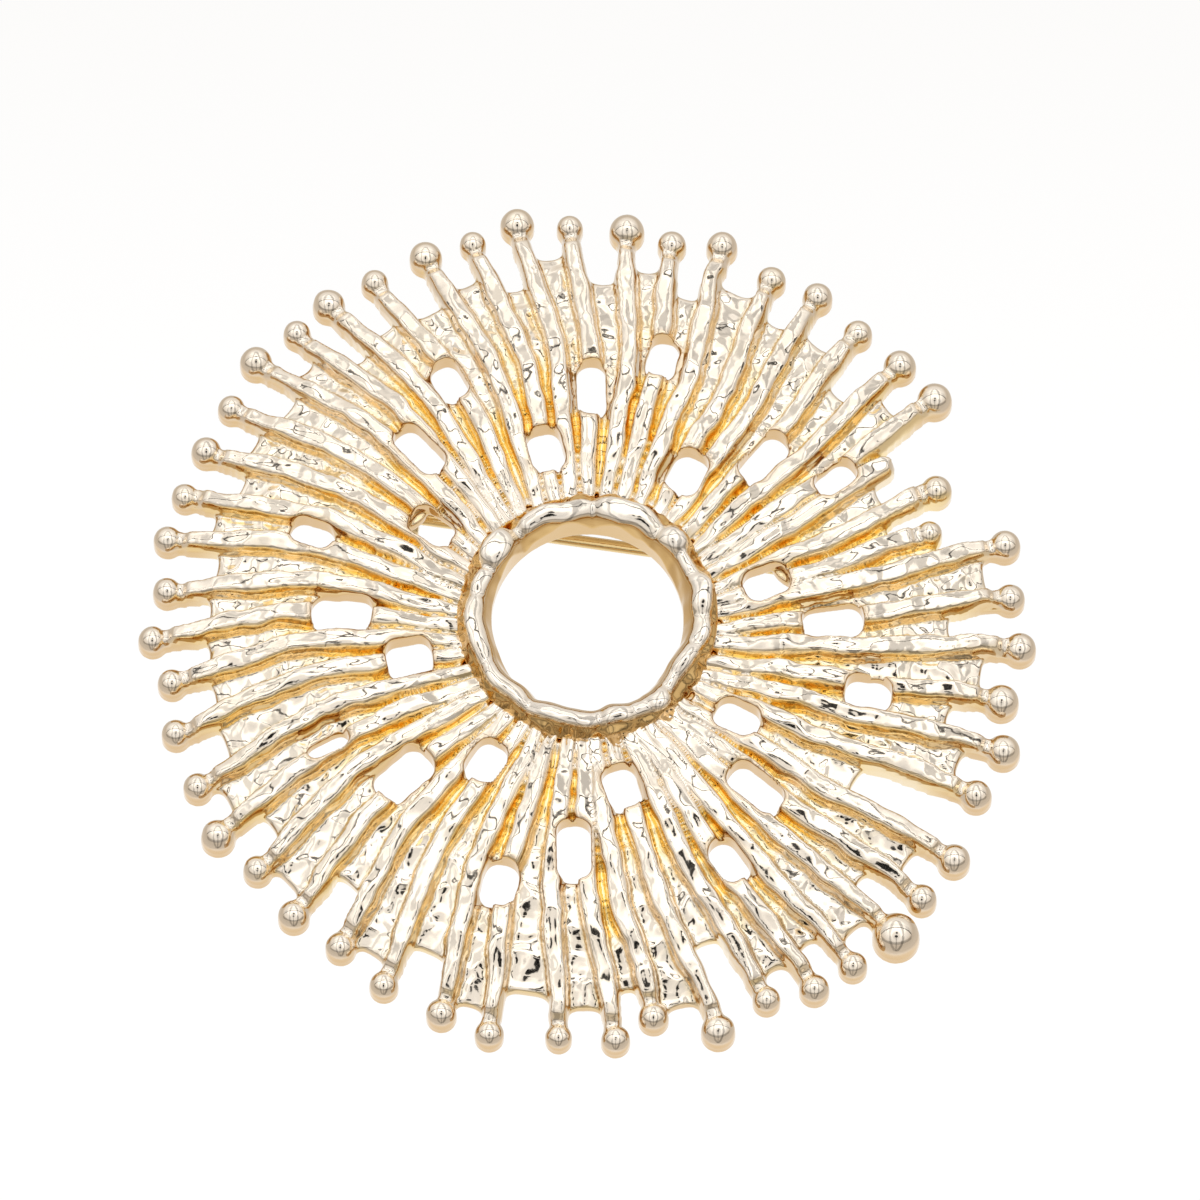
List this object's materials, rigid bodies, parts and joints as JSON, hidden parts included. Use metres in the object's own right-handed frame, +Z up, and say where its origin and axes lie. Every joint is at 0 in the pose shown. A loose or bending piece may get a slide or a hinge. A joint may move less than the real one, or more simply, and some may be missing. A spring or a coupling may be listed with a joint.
{
  "type": "sunburst brooch",
  "caption": "Cast gold-coloured sunburst brooch: domed openwork disc of ball-ended rays, lobed centre collar, hinged pin and turning safety catch on the back.",
  "frame": {"origin": "centre of the opening, in the plane of the cloth that the ray tips lie on", "axes": "worn upright: the face looks along -Y, the back along +Y, +Z is up, the pin runs along X"},
  "size_m": [0.0714, 0.0088, 0.0715],
  "materials": {
    "plated_casting": "bright pale gold plate over a hammered casting",
    "plated_collar": "bright pale gold plate, polished",
    "plated_fitting": "gold plate over stamped sheet metal",
    "pin_wire": "gold plate over drawn wire"
  },
  "bodies": {
    "brooch": {"sunburst_casting": "plated_casting", "collar_ring": "plated_collar", "hinge_patch": "plated_fitting", "hinge_bracket": "plated_fitting", "hinge_rivet": "plated_fitting", "catch_patch": "plated_fitting", "catch_barrel": "plated_fitting"},
    "pin": {"pin_stem": "pin_wire"},
    "catch": {"catch_rotor": "plated_fitting"}
  },
  "joints": [
    {"name": "pin_swing", "type": "hinge", "parent": "brooch", "child": "pin", "pos_m": [0.0162, 0.0007, 0.0082], "axis": [0, 0, -1], "range_deg": [0, 100]},
    {"name": "catch_turn", "type": "hinge", "parent": "brooch", "child": "catch", "pos_m": [-0.0166, 0.0007, 0.0082], "axis": [1, 0, 0], "range_deg": [0, 100]}
  ]
}
